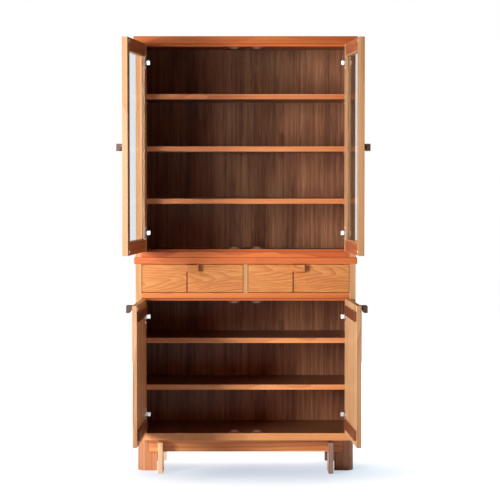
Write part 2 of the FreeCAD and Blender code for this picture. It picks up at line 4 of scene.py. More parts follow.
import bpy
import numpy as np
from bpy.props import FloatProperty, FloatVectorProperty, IntProperty, PointerProperty
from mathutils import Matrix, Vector

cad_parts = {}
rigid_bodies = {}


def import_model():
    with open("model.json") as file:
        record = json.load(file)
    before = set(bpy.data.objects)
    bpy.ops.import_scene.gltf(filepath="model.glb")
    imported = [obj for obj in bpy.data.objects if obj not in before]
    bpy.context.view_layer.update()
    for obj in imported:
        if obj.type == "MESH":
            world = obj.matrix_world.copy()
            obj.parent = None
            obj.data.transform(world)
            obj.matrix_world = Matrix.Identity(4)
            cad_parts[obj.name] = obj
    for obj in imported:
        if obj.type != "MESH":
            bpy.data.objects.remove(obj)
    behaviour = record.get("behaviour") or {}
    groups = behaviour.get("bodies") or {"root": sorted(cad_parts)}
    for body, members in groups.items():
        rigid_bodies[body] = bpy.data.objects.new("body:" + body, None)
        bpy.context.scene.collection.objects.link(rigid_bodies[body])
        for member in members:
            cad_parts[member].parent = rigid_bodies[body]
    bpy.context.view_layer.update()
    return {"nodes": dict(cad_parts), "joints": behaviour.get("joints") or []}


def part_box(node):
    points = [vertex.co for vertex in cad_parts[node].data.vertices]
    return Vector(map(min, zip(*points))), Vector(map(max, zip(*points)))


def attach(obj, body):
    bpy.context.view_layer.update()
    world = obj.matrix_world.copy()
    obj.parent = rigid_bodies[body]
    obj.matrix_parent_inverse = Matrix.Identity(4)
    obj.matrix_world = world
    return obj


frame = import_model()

bl_info = {
    "name": "Kitchen cupboard looks",
    "version": (1, 0, 0),
    "blender": (4, 5, 0),
    "location": "3D View > Sidebar > Cupboard",
    "description": "Woods, glass, metalwork and stage for a tall kitchen cupboard with open doors",
    "category": "Object",
}

NODES = frame["nodes"]

# Distance between nodes in the shader editor.
NODE_STEP = 190

# Spots to a metre of the woods' noise: two numbers across the board and one along it.
SHIFT_SPOTS = (9, 9, 2.2)
STREAK_SPOTS = (46, 46, 0.9)
FIBRE_SPOTS = (260, 260, 5.5)
TONE_SPOTS = (6, 6, 1.1)
PORE_SPOTS = (1100, 1100, 22)
# A ring darkens towards its edge by a power, and noise is multiplied by the gain and moved by the start.
RING_POWER = 2.2
NOISE_GAIN = 2.6
NOISE_START = -0.8
SHEEN_START = 0.30
SHEEN_SPREAD = 0.22
PORE_HEIGHT = 0.5
# Strength and depth of the bump that the grain makes.
GRAIN_BUMP = (0.25, 0.0004)
COAT_ROUGHNESS = 0.35
# Between these facing values of Layer Weight, a wood seen nearly edge on takes its graze tint. This dark
# tint is painted shade that darkens lying boards such as shelf tops.
GRAZE_START = 0.72
GRAZE_END = 0.87
GRAZE_SHADE_TINT = (0.16, 0.18, 0.24)

# Turns that lay the grain, which runs along Z, along another axis.
GRAIN_TURNS = {
    "x": (0, math.radians(90), 0),
    "y": (math.radians(90), 0, 0),
    "z": (0, 0, 0),
}

# Lying boards: wood, the rings' centre from the board's middle, ring width, strength of rings, strength of
# the painted shade where seen nearly edge on.
LYING_BOARDS = {
    "top_board": ("case", (0.02, 0.31, 0.06), 0.014, 0.2, 0.65),
    "counter_board": ("counter", (0.03, 0.26, -0.05), 0.012, 0.12, 0.0),
    "upper_floor": ("counter", (0.04, 0.33, 0.09), 0.012, 0.35, 1.0),
    "drawer_deck": ("deck", (0.01, 0.29, 0.07), 0.012, 0.35, 1.0),
    "bottom_board": ("foot", (0.02, 0.35, -0.04), 0.012, 0.15, 1.0),
    "upper_door_stops": ("case", (0.1, 0.2, 0.3), 0.01, 0.3, 1.0),
    "lower_door_stop": ("case", (0.1, 0.2, 0.3), 0.01, 0.3, 1.0),
    "front_apron": ("foot", (0.07, 0.09, 0.11), 0.013, 0.6, 1.0),
    "rear_apron": ("foot", (0.05, 0.12, 0.1), 0.013, 0.6, 1.0),
}
# The rings' centre moves on from shelf to shelf, so that no two shelves have the same grain.
SHELF_HEART = (0.0, 0.21, 0.06)
SHELF_HEART_STEP = (0.05, 0.013, 0.0)
# Other boards: the rings' centre from the piece's middle, or for legs and fins from the origin.
SIDE_HEART = (0.09, 0.12, 0.3)
BACK_HEART = (0.13, 0.5, 0.2)
LEG_HEART = (0.31, 0.265, 0.0)
FIN_HEART = (0.2, 0.115, 0.0)
STILE_HEART = (0.12, 0.3, 0)
RAIL_HEART = (0.11, 0, 0.08)
SLAB_HEART = (0.07, 0.03, 0)
PULL_HEART = (0.05, 0, 0.04)
BOX_HEART = (0.1, 0.1, 0.1)
# A tint makes the right fins darker than the left ones. The slabs' graze tint is a painted sheen that makes
# them paler where seen nearly edge on.
RIGHT_FIN_SHADE = (0.39, 0.36, 0.43)
SLAB_GRAZE_SHEEN_TINT = (1.5, 1.75, 1.85)
# Each drawer front: the rings' centre, and the turn about Y in degrees, near 90, that makes its arches.
DRAWER_ARCHES = {"left": ((0.0, 0.035, -0.012), 86), "right": ((0.05, 0.04, 0.02), 94)}
DRAWER_ARCH_SLANT = math.radians(4)

# The panes' index of refraction, and the share of the light on the wood behind that they let through.
PANE_BEND = 1.05
PANE_LIGHT = 0.42
# Other finishes: spots to a metre, the darkest parts as a share of the colour, and the shine.
PANE_SHADE = 0.98
PANE_SPOTS = (2, 2, 2)
METAL_SPOTS = (90, 90, 90)
METAL_SHADE = 0.9
METAL_UNEVEN = 0.16
HINGE_ROUGHNESS = 0.22
SCREW_ROUGHNESS = 0.3
MAGNET_ROUGHNESS = 0.4
PLASTIC_SPOTS = (700, 700, 700)
PLASTIC_SHADE = 0.8
PLASTIC_BUMP = (0.2, 0.0002)
PLASTIC_ROUGHNESS = 0.45

# A screw's head from its rim to the cross recess, as shares of its radius and height.
SCREW_PROFILE = ((1.0, 0.0), (1.0, 0.35), (0.94, 0.6), (0.8, 0.82), (0.55, 0.96), (0.36, 1.0),
                 (0.24, 0.45), (0.0, 0.4))
SCREW_SINK = 0.0001
# The hinges, in metres. A gap in height wider than the spacing parts one hinge from the next. A
# plate's two screws stand in front of the arm's rear end, one above and one below the hinge's height.
HINGE_SPACING = 0.1
HINGES_TO_A_SIDE = 4
PLATE_THICK = 0.002
PLATE_TO_REAR = 0.029
PLATE_SCREW_OFFSET = 0.016
# A cup's two screws stand above and below its centre. The centre is measured along the door from the
# line that the door turns about, and the flange's face square to the door from the same line.
CUP_CENTRE = 0.022
CUP_SCREW_OFFSET = 0.0225
FLANGE_FACE = {"upper": 0.0232, "lower": 0.0192}

# Lamps: place, the point that they face, width and height. Y is from the case's front plane.
KEY_LAMP = ((-2.75, -3.1, 1.4), (0.0, 0.0, 0.95), 1.0, 1.5)
TOP_LAMP = ((-0.5, 1.0, 4.5), (0.0, 0.2, 1.8), 1.0, 1.0)
METAL_LAMP = ((0.4, -6.0, 1.3), (0.0, 0.0, 0.95), 3.0, 2.4)
FLOOR_LAMP = ((0.0, 4.0, 1.6), (0.0, 0.0, 0.2), 7.0, 3.0)
# The floor's glow is darker near this middle, a painted shadow round the cupboard's base, and rises to
# white by a smooth step of the distance from it, in an oval.
FLOOR_SHADE_MIDDLE = (0.1, 0.12, 0.0)
FLOOR_SHADE_OVAL = (0.58, 1.25, 0.0)
FLOOR_SHADE_NEAR = 0.0
FLOOR_SHADE_FAR = 0.78

# The camera: metres from the front plane and above the floor, pixels of the photograph's frame, and
# millimetres of sensor.
CAMERA_DISTANCE = 7.5
CAMERA_HEIGHT = 1.242
CAMERA_PITCH = math.radians(2.4227)
CAMERA_REACH = 100.0
FOCAL_PIXELS = 1836.6
IMAGE_PIXELS = 500
MIDDLE_PIXEL = 245.58
SENSOR_WIDTH = 36.0


def linear(red, green, blue):
    """A screen colour from 0 to 255 as the linear colour that shaders use."""
    screen = np.array((red, green, blue)) / 255
    return tuple(np.where(screen <= 0.04045, screen / 12.92, ((screen + 0.055) / 1.055) ** 2.4))


def colour_property(name, description, screen):
    """A colour that a user can change."""
    return FloatVectorProperty(name=name, description=description, default=linear(*screen), size=3,
                               subtype="COLOR", min=0, max=1)


class CupboardColours(bpy.types.PropertyGroup):
    """Colours of the woods, the metalwork, the panes and the stage"""

    case_light: colour_property("Case light", "Pale parts of the top board and the stops", (229, 130, 62))
    case_dark: colour_property("Case dark", "Dark grain of the top board and the stops", (172, 78, 32))
    shelf_light: colour_property("Shelf light", "Pale parts of the shelves", (255, 174, 107))
    shelf_dark: colour_property("Shelf dark", "Dark grain of the shelves", (197, 105, 58))
    rail_light: colour_property("Rail light", "Pale parts of the upper doors' rails", (226, 136, 84))
    rail_dark: colour_property("Rail dark", "Dark grain of the upper doors' rails", (172, 88, 50))
    deck_light: colour_property("Deck light", "Pale parts of the board under the drawers", (246, 150, 82))
    deck_dark: colour_property("Deck dark", "Dark grain of the board under the drawers", (196, 98, 48))
    foot_light: colour_property("Foot light", "Pale parts of bottom board and aprons", (254, 186, 114))
    foot_dark: colour_property("Foot dark", "Dark grain of bottom board and aprons", (214, 126, 74))
    leg_light: colour_property("Leg light", "Pale parts of the corner legs", (220, 158, 106))
    leg_dark: colour_property("Leg dark", "Dark grain of the corner legs", (178, 104, 64))
    fin_light: colour_property("Fin light", "Pale parts of the fins beside the legs", (255, 226, 190))
    fin_dark: colour_property("Fin dark", "Dark grain of the fins beside the legs", (232, 182, 138))
    counter_light: colour_property("Counter light", "Pale parts of counter and upper floor", (254, 142, 75))
    counter_dark: colour_property("Counter dark", "Dark grain of counter and upper floor", (180, 78, 38))
    post_light: colour_property("Side light", "Pale parts of side panels and divider", (232, 176, 120))
    post_dark: colour_property("Side dark", "Dark grain of side panels and divider", (190, 122, 72))
    upper_back_light: colour_property("Upper back light", "Pale parts of the upper back", (194, 145, 105))
    upper_back_dark: colour_property("Upper back dark", "Dark grain of the upper back", (106, 70, 49))
    lower_back_light: colour_property("Lower back light", "Pale parts of the lower back", (190, 142, 102))
    lower_back_dark: colour_property("Lower back dark", "Dark grain of the lower back", (105, 68, 48))
    door_light: colour_property("Door light", "Pale parts of the upper doors' wood", (230, 178, 128))
    door_dark: colour_property("Door dark", "Dark grain of the upper doors' wood", (194, 130, 82))
    slab_light: colour_property("Slab light", "Pale parts of the lower doors' wood", (228, 178, 132))
    slab_dark: colour_property("Slab dark", "Dark grain of the lower doors' wood", (184, 124, 80))
    batten_light: colour_property("Batten light", "Pale parts of the battens", (160, 90, 54))
    batten_dark: colour_property("Batten dark", "Dark grain of the battens", (110, 56, 32))
    drawer_light: colour_property("Drawer light", "Pale parts of drawer fronts and pulls", (252, 182, 106))
    drawer_dark: colour_property("Drawer dark", "Dark grain of drawer fronts and pulls", (206, 120, 62))
    pull_light: colour_property("Pull light", "Pale parts of the door pulls", (116, 84, 70))
    pull_dark: colour_property("Pull dark", "Dark grain of the door pulls", (80, 56, 46))
    box_light: colour_property("Drawer box light", "Pale parts of the drawer boxes", (232, 200, 152))
    box_dark: colour_property("Drawer box dark", "Dark grain of the drawer boxes", (200, 158, 108))
    metal: colour_property("Metal", "Plated steel of hinges, screws and pins", (240, 240, 236))
    catch: colour_property("Catch", "Brown plastic of the catches", (92, 54, 40))
    magnet: colour_property("Magnet", "Steel of the magnets in the catches", (150, 112, 96))
    glass: colour_property("Glass", "Slight tint of the panes", (246, 252, 255))
    sky: colour_property("Sky", "Tint of the light from all round", (222, 240, 255))
    floor: colour_property("Floor", "Paper that the cupboard stands on", (232, 236, 242))
    # Near the cupboard the floor's glow takes this bluish grey: a painted shadow round its base.
    floor_shadow_glow: colour_property("Floor glow", "White that the camera sees added to the shaded floor",
                                (174, 191, 207))


class CupboardSizes(bpy.types.PropertyGroup):
    """Sizes of the screws and of the floor"""

    screw_radius: FloatProperty(name="Screw radius", description="Radius of a screw's head", default=0.0036,
                                unit="LENGTH", min=0.001, max=0.01)
    screw_height: FloatProperty(name="Screw height", description="How far a screw's head stands out",
                                default=0.0011, unit="LENGTH", min=0.0002, max=0.003)
    screw_sides: IntProperty(name="Screw sides", description="Steps round a screw's head", default=32,
                             min=8)
    floor_size: FloatProperty(name="Floor size", description="Half the width of the floor", default=14.0,
                              unit="LENGTH", min=1)


class CupboardLight(bpy.types.PropertyGroup):
    """Powers of the lamps, and how bright the world and the floor are"""

    key_power: FloatProperty(name="Key power", description="Power of the soft lamp at the left",
                             default=195.0, min=0)
    floor_power: FloatProperty(name="Floor power", default=560.0, min=0,
                               description="Power of the lamp behind that lights the floor alone")
    top_power: FloatProperty(name="Top power", default=60.0, min=0,
                             description="Power of the lamp that lights the top board alone")
    metal_power: FloatProperty(name="Metal power", default=110.0, min=0,
                               description="Power of the lamp that lights hinges and screws alone")
    world_level: FloatProperty(name="World level", description="Light from all round", default=0.024,
                               min=0)
    floor_gain: FloatProperty(name="Floor gain", default=0.31, min=0, max=6,
                              description="How far the camera sees the floor's own light raised")


def socket(group, name, kind, side="INPUT", default=None):
    """A socket of a node group, with its starting value."""
    made = group.interface.new_socket(name, in_out=side, socket_type=kind)
    if default is not None:
        made.default_value = default


def add(tree, kind, place, **settings):
    """A node at a place in the tree, with its settings."""
    node = tree.nodes.new(kind)
    node.location = (place[0] * NODE_STEP, -place[1] * NODE_STEP)
    for name, value in settings.items():
        setattr(node, name, value)
    return node


def join(tree, start, end):
    """A link from one socket to another."""
    tree.links.new(start, end)


def feed(tree, inputs, values):
    """Gives each input its value, by a link from a socket or as a plain number, vector or colour."""
    for end, value in zip(inputs, values):
        if isinstance(value, bpy.types.NodeSocket):
            join(tree, value, end)
        else:
            end.default_value = value


def maths(tree, place, operation, *values):
    """The result of a Math node."""
    node = add(tree, "ShaderNodeMath", place, operation=operation)
    feed(tree, node.inputs, values)
    return node.outputs[0]


def vector_maths(tree, place, operation, *values):
    """The result of a Vector Math node, which is a number for a length."""
    node = add(tree, "ShaderNodeVectorMath", place, operation=operation)
    feed(tree, node.inputs, values)
    return node.outputs["Value" if operation == "LENGTH" else "Vector"]


def mixed(tree, place, factor, first, second, blend="MIX"):
    """The result of mixing two colours, each a socket or three numbers."""
    node = add(tree, "ShaderNodeMix", place, data_type="RGBA", blend_type=blend)
    join(tree, factor, node.inputs["Factor"])
    pair = [value if isinstance(value, bpy.types.NodeSocket) else (*value, 1) for value in (first, second)]
    feed(tree, (node.inputs[6], node.inputs[7]), pair)
    return node.outputs[2]


def smooth_step(tree, place, value, start, end, top=1.0):
    """A value that rises smoothly from 0 at the start to the top at the end."""
    node = add(tree, "ShaderNodeMapRange", place, interpolation_type="SMOOTHSTEP")
    node.inputs["From Min"].default_value = start
    node.inputs["From Max"].default_value = end
    node.inputs["To Max"].default_value = top
    join(tree, value, node.inputs["Value"])
    return node.outputs["Result"]


def stretched_noise(tree, place, vector, spots, detail=2.0, rough=0.5):
    """Noise on the vector after each axis is multiplied by its own number of spots to a metre."""
    noise = add(tree, "ShaderNodeTexNoise", (place[0] + 1, place[1]))
    noise.inputs["Scale"].default_value = 1.0
    noise.inputs["Detail"].default_value = detail
    noise.inputs["Roughness"].default_value = rough
    join(tree, vector_maths(tree, place, "MULTIPLY", vector, spots), noise.inputs["Vector"])
    return noise


def grain_group():
    """Solid wood with its grain along Z.

    Growth rings are bands of the distance from the Z axis, after slow noise has shifted that
    distance. Streaks, fibres and tone are noise drawn out along Z. Their weighted sum runs from
    the pale colour to the dark one. The fibres also give the sheen, and with the pores the height.
    """
    found = bpy.data.node_groups.get("Board grain")
    if found:
        return found
    tree = bpy.data.node_groups.new("Board grain", "ShaderNodeTree")
    socket(tree, "Vector", "NodeSocketVector")
    socket(tree, "Light", "NodeSocketColor", default=(0.8, 0.5, 0.3, 1))
    socket(tree, "Dark", "NodeSocketColor", default=(0.4, 0.2, 0.1, 1))
    socket(tree, "Ring Width", "NodeSocketFloat", default=0.012)
    socket(tree, "Ring Wobble", "NodeSocketFloat", default=0.03)
    socket(tree, "Rings", "NodeSocketFloat", default=0.4)
    socket(tree, "Streaks", "NodeSocketFloat", default=0.4)
    socket(tree, "Fibres", "NodeSocketFloat", default=0.25)
    socket(tree, "Tone", "NodeSocketFloat", default=0.4)
    socket(tree, "Color", "NodeSocketColor", "OUTPUT")
    socket(tree, "Roughness", "NodeSocketFloat", "OUTPUT")
    socket(tree, "Height", "NodeSocketFloat", "OUTPUT")
    ins = add(tree, "NodeGroupInput", (0, 0))
    outs = add(tree, "NodeGroupOutput", (12, 0))
    vector = ins.outputs["Vector"]
    slow = stretched_noise(tree, (1, 0), vector, SHIFT_SPOTS)
    centred = vector_maths(tree, (3, 0), "SUBTRACT", slow.outputs["Color"], (0.5, 0.5, 0.5))
    wobble = vector_maths(tree, (4, 0), "SCALE", centred)
    join(tree, ins.outputs["Ring Wobble"], wobble.node.inputs["Scale"])
    shifted = vector_maths(tree, (5, 0), "ADD", vector, wobble)
    flat = vector_maths(tree, (6, 0), "MULTIPLY", shifted, (1, 1, 0))
    distance = vector_maths(tree, (7, 0), "LENGTH", flat)
    phase = maths(tree, (8, 0), "DIVIDE", distance, ins.outputs["Ring Width"])
    band = maths(tree, (8, 1), "FRACT", phase)
    ring = maths(tree, (9, 0), "POWER", band, RING_POWER)
    streak = stretched_noise(tree, (1, 2), vector, STREAK_SPOTS, detail=3.0, rough=0.55)
    fibre = stretched_noise(tree, (1, 3), vector, FIBRE_SPOTS, detail=3.0, rough=0.6)
    tone = stretched_noise(tree, (1, 4), vector, TONE_SPOTS, detail=1.0)
    pore = stretched_noise(tree, (1, 5), vector, PORE_SPOTS, detail=1.0)
    total = maths(tree, (9, 1), "MULTIPLY", ring, ins.outputs["Rings"])
    for row, (noise, name) in enumerate(((streak, "Streaks"), (fibre, "Fibres"), (tone, "Tone"))):
        spread = maths(tree, (4, 2 + row), "MULTIPLY_ADD", noise.outputs["Fac"], NOISE_GAIN, NOISE_START)
        part = maths(tree, (5, 2 + row), "MULTIPLY", spread, ins.outputs[name])
        total = maths(tree, (10, 1 + row), "ADD", total, part)
    amount = maths(tree, (11, 1), "MINIMUM", maths(tree, (10, 5), "MAXIMUM", total, 0.0), 1.0)
    colour = mixed(tree, (11, 0), amount, ins.outputs["Light"], ins.outputs["Dark"])
    sheen = maths(tree, (10, 6), "MULTIPLY_ADD", fibre.outputs["Fac"], SHEEN_SPREAD, SHEEN_START)
    height = maths(tree, (9, 6), "MULTIPLY_ADD", pore.outputs["Fac"], PORE_HEIGHT, fibre.outputs["Fac"])
    join(tree, colour, outs.inputs["Color"])
    join(tree, sheen, outs.inputs["Roughness"])
    join(tree, height, outs.inputs["Height"])
    return tree


def new_material(name):
    """A material with its Principled shader and its output."""
    material = bpy.data.materials.new(name)
    material.use_nodes = True
    tree = material.node_tree
    tree.nodes.clear()
    shader = add(tree, "ShaderNodeBsdfPrincipled", (6, 0))
    out = add(tree, "ShaderNodeOutputMaterial", (8, 0))
    join(tree, shader.outputs[0], out.inputs["Surface"])
    return material, tree, shader


def relief(tree, place, height, strength, depth, shader):
    """Gives a shader a bump of a strength and depth from a height."""
    bump = add(tree, "ShaderNodeBump", place)
    bump.inputs["Strength"].default_value = strength
    bump.inputs["Distance"].default_value = depth
    join(tree, height, bump.inputs["Height"])
    join(tree, bump.outputs[0], shader.inputs["Normal"])


def wood(name, light, dark, turn, heart, ring=0.012, wobble=0.03, rings=0.4, streaks=0.4, fibres=0.2,
         tone=0.3, coat=0.12, fine=1.0, graze=0.0, graze_tint=GRAZE_SHADE_TINT):
    """Wood of one board: turn lays its grain along the board, heart is where its rings are centred.

    Fine below one makes the whole grain smaller. The graze strength multiplies the wood by the graze tint
    where it is seen nearly edge on, by a smooth step of the Layer Weight's facing value. That is
    painted light: a dark tint paints shade, a pale tint paints sheen.
    """
    material, tree, shader = new_material(name)
    place = add(tree, "ShaderNodeTexCoord", (0, 0))
    mapping = add(tree, "ShaderNodeMapping", (1, 0), vector_type="TEXTURE")
    mapping.inputs["Location"].default_value = heart
    mapping.inputs["Rotation"].default_value = turn
    mapping.inputs["Scale"].default_value = (fine, fine, fine)
    grain = add(tree, "ShaderNodeGroup", (3, 0))
    grain.node_tree = grain_group()
    grain.inputs["Light"].default_value = (*light, 1)
    grain.inputs["Dark"].default_value = (*dark, 1)
    for socket_name, value in (("Ring Width", ring), ("Ring Wobble", wobble), ("Rings", rings),
                               ("Streaks", streaks), ("Fibres", fibres), ("Tone", tone)):
        grain.inputs[socket_name].default_value = value
    join(tree, place.outputs["Object"], mapping.inputs["Vector"])
    join(tree, mapping.outputs[0], grain.inputs["Vector"])
    colour = grain.outputs["Color"]
    # Painted light: a dark graze tint paints shade on a wood seen nearly edge on, a pale one paints sheen.
    if graze > 0:
        weight = add(tree, "ShaderNodeLayerWeight", (3, 2))
        weight.inputs["Blend"].default_value = 0.5
        step = smooth_step(tree, (4, 2), weight.outputs["Facing"], GRAZE_START, GRAZE_END, top=graze)
        colour = mixed(tree, (5, 2), step, colour, graze_tint, blend="MULTIPLY")
    join(tree, colour, shader.inputs["Base Color"])
    join(tree, grain.outputs["Roughness"], shader.inputs["Roughness"])
    relief(tree, (5, 1), grain.outputs["Height"], *GRAIN_BUMP, shader)
    shader.inputs["Coat Weight"].default_value = coat
    shader.inputs["Coat Roughness"].default_value = COAT_ROUGHNESS
    return material


def shade_right(material, tint):
    """Multiplies a wood by the tint on the right half of the part, where x is above zero."""
    tree = material.node_tree
    shader = next(node for node in tree.nodes if node.type == "BSDF_PRINCIPLED")
    colour = shader.inputs["Base Color"].links[0].from_socket
    place = add(tree, "ShaderNodeTexCoord", (3, 4))
    apart = add(tree, "ShaderNodeSeparateXYZ", (4, 4))
    join(tree, place.outputs["Object"], apart.inputs[0])
    side = maths(tree, (5, 4), "GREATER_THAN", apart.outputs["X"], 0.0)
    shaded = mixed(tree, (5, 3), side, colour, tint, blend="MULTIPLY")
    join(tree, shaded, shader.inputs["Base Color"])


def dress(node, material):
    """Gives a CAD node its material."""
    data = NODES[node].data
    data.materials.clear()
    data.materials.append(material)


def pair_of(colours, kind):
    """The pale and the dark colour of a kind of wood."""
    return getattr(colours, f"{kind}_light"), getattr(colours, f"{kind}_dark")


def dress_board(node, colours, kind, turn, offset, **grain):
    """Gives a CAD node wood of a kind, with its rings centred at an offset from the node's middle."""
    low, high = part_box(node)
    heart = tuple(np.array((low + high) / 2) + np.array(offset))
    material = wood(f"{node} wood", *pair_of(colours, kind), turn, heart, **grain)
    dress(node, material)
    return material


class CUPBOARD_OT_case(bpy.types.Operator):
    """Gives the boards, shelves, thin backs, legs and fins of the case their woods"""

    bl_idname = "cupboard.case"
    bl_label = "Case woods"

    def execute(self, context):
        colours = context.scene.cupboard_colours
        for name, (kind, offset, ring, rings, graze) in LYING_BOARDS.items():
            dress_board(name, colours, kind, GRAIN_TURNS["x"], offset, ring=ring, rings=rings, graze=graze)
        for index, name in enumerate(sorted(NODES)):
            if name.startswith(("upper_shelf", "lower_shelf")):
                offset = np.array(SHELF_HEART) + index * np.array(SHELF_HEART_STEP)
                # Shelves take the full painted shade on faces seen nearly edge on.
                dress_board(name, colours, "shelf", GRAIN_TURNS["x"], offset, rings=0.35, graze=1.0)
        for name in ("upper_side_left", "upper_side_right", "lower_side_left", "lower_side_right",
                     "drawer_divider"):
            dress_board(name, colours, "post", GRAIN_TURNS["z"], SIDE_HEART, ring=0.011, rings=0.35)
        for level in ("upper", "lower"):
            dress_board(f"{level}_back_panel", colours, f"{level}_back", GRAIN_TURNS["z"], BACK_HEART,
                        ring=0.03, wobble=0.05, rings=0.15, fibres=0.5, tone=0.35, coat=0.04, fine=0.45)
        legs = wood("corner_legs wood", *pair_of(colours, "leg"), GRAIN_TURNS["z"], LEG_HEART, rings=0.45,
                    streaks=0.45)
        dress("corner_legs", legs)
        fins = wood("leg_fins wood", *pair_of(colours, "fin"), GRAIN_TURNS["z"], FIN_HEART, ring=0.011,
                    rings=0.35, streaks=0.45)
        shade_right(fins, RIGHT_FIN_SHADE)
        dress("leg_fins", fins)
        return {"FINISHED"}


def door_turn(level, side):
    """How far a door stands open, as the turn of its board about the upright axis, in radians."""
    for joint in frame["joints"]:
        if joint["name"] == f"{level}_{side}_door_swing":
            return math.radians(joint["range_deg"][0]) * -joint["axis"][2]
    raise RuntimeError(f"no hinge for the {level} {side} door")


class CUPBOARD_OT_doors(bpy.types.Operator):
    """Gives the doors' frames, slabs, battens and beads their woods"""

    bl_idname = "cupboard.doors"
    bl_label = "Door woods"

    def execute(self, context):
        colours = context.scene.cupboard_colours
        for side in ("left", "right"):
            for part in ("stiles", "beads"):
                dress_board(f"upper_{side}_door_{part}", colours, "door", GRAIN_TURNS["z"], STILE_HEART,
                            rings=0.35)
            along = (math.radians(90), 0, door_turn("upper", side) + math.radians(90))
            for end in ("top", "bottom"):
                dress_board(f"upper_{side}_door_{end}_rail", colours, "rail", along, RAIL_HEART, rings=0.35)
            # The slabs' pale graze tint paints sheen where they are seen nearly edge on.
            dress_board(f"lower_{side}_door_slab", colours, "slab", GRAIN_TURNS["z"], SLAB_HEART,
                        ring=0.016, wobble=0.05, rings=0.5, streaks=0.55, fibres=0.3, graze=1.0,
                        graze_tint=SLAB_GRAZE_SHEEN_TINT)
            along = (math.radians(90), 0, door_turn("lower", side) + math.radians(90))
            dress_board(f"lower_{side}_door_battens", colours, "batten", along, RAIL_HEART, rings=0.35)
        return {"FINISHED"}


class CUPBOARD_OT_glass(bpy.types.Operator):
    """Gives the two panes clear glass, which lets less light onto the wood behind it"""

    bl_idname = "cupboard.glass"
    bl_label = "Glass panes"

    def execute(self, context):
        colour = np.array(context.scene.cupboard_colours.glass)
        for side in ("left", "right"):
            material, tree, shader = new_material(f"{side} pane glass")
            shader.inputs["Transmission Weight"].default_value = 1.0
            shader.inputs["Roughness"].default_value = 0.0
            shader.inputs["IOR"].default_value = PANE_BEND
            place = add(tree, "ShaderNodeTexCoord", (0, 0))
            haze = stretched_noise(tree, (1, 0), place.outputs["Object"], PANE_SPOTS, detail=1.0)
            tint = mixed(tree, (4, 0), haze.outputs["Fac"], colour, PANE_SHADE * colour)
            path = add(tree, "ShaderNodeLightPath", (3, 2))
            dimmed = mixed(tree, (5, 1), path.outputs["Is Diffuse Ray"], tint, (PANE_LIGHT,) * 3,
                           blend="MULTIPLY")
            join(tree, dimmed, shader.inputs["Base Color"])
            dress(f"upper_{side}_door_glass", material)
        return {"FINISHED"}


class CUPBOARD_OT_drawers(bpy.types.Operator):
    """Gives the drawers' fronts and pulls their arched grain, and their boxes pale wood"""

    bl_idname = "cupboard.drawers"
    bl_label = "Drawer woods"

    def execute(self, context):
        colours = context.scene.cupboard_colours
        for side, (offset, degrees) in DRAWER_ARCHES.items():
            turn = (0, math.radians(degrees), DRAWER_ARCH_SLANT)
            veneer = dress_board(f"{side}_drawer_front", colours, "drawer", turn, offset, ring=0.0062,
                                 wobble=0.06, rings=0.5, streaks=0.35, fibres=0.4, tone=0.25)
            dress(f"{side}_drawer_pull", veneer)
            for part, axis in (("sides", "y"), ("back", "x"), ("bottom", "x")):
                dress_board(f"{side}_drawer_{part}", colours, "box", GRAIN_TURNS[axis], BOX_HEART,
                            rings=0.3, coat=0.0)
        return {"FINISHED"}


class CUPBOARD_OT_pulls(bpy.types.Operator):
    """Gives the doors' four pulls their dark wood"""

    bl_idname = "cupboard.pulls"
    bl_label = "Door pulls"

    def execute(self, context):
        for name in sorted(NODES):
            if name.endswith("_door_pull"):
                dress_board(name, context.scene.cupboard_colours, "pull", GRAIN_TURNS["y"], PULL_HEART,
                            ring=0.009, rings=0.4)
        return {"FINISHED"}


def plated_metal(name, colour, roughness):
    """Plated metal, a little uneven in its shine."""
    material, tree, shader = new_material(name)
    colour = np.array(colour)
    place = add(tree, "ShaderNodeTexCoord", (0, 0))
    cloud = stretched_noise(tree, (1, 0), place.outputs["Object"], METAL_SPOTS, detail=3.0)
    shine = maths(tree, (4, 0), "MULTIPLY_ADD", cloud.outputs["Fac"], METAL_UNEVEN, roughness)
    tint = mixed(tree, (4, 1), cloud.outputs["Fac"], colour, METAL_SHADE * colour)
    join(tree, tint, shader.inputs["Base Color"])
    join(tree, shine, shader.inputs["Roughness"])
    shader.inputs["Metallic"].default_value = 1.0
    return material


def moulded_plastic(name, colour):
    """Moulded plastic with a fine uneven skin."""
    material, tree, shader = new_material(name)
    colour = np.array(colour)
    place = add(tree, "ShaderNodeTexCoord", (0, 0))
    skin = stretched_noise(tree, (1, 0), place.outputs["Object"], PLASTIC_SPOTS)
    tint = mixed(tree, (4, 1), skin.outputs["Fac"], colour, PLASTIC_SHADE * colour)
    join(tree, tint, shader.inputs["Base Color"])
    relief(tree, (5, 2), skin.outputs["Fac"], *PLASTIC_BUMP, shader)
    shader.inputs["Roughness"].default_value = PLASTIC_ROUGHNESS
    return material


class CUPBOARD_OT_metalwork(bpy.types.Operator):
    """Finishes the hinges, pins, catches and magnets"""

    bl_idname = "cupboard.metalwork"
    bl_label = "Hinges and catches"

    def execute(self, context):
        colours = context.scene.cupboard_colours
        plated = plated_metal("plated steel", colours.metal, HINGE_ROUGHNESS)
        for name in sorted(NODES):
            if name.endswith("_hardware") or name in ("hinge_mounts", "shelf_pins"):
                dress(name, plated)
        dress("door_catches", moulded_plastic("catch plastic", colours.catch))
        dress("catch_magnets", plated_metal("magnet steel", colours.magnet, MAGNET_ROUGHNESS))
        return {"FINISHED"}


def mesh_object(name, points, faces):
    """A mesh object from whole arrays of points and of faces."""
    mesh = bpy.data.meshes.new(name)
    mesh.from_pydata(points.tolist(), [], faces)
    mesh.validate()
    mesh.update()
    made = bpy.data.objects.new(name, mesh)
    bpy.context.scene.collection.objects.link(made)
    return made


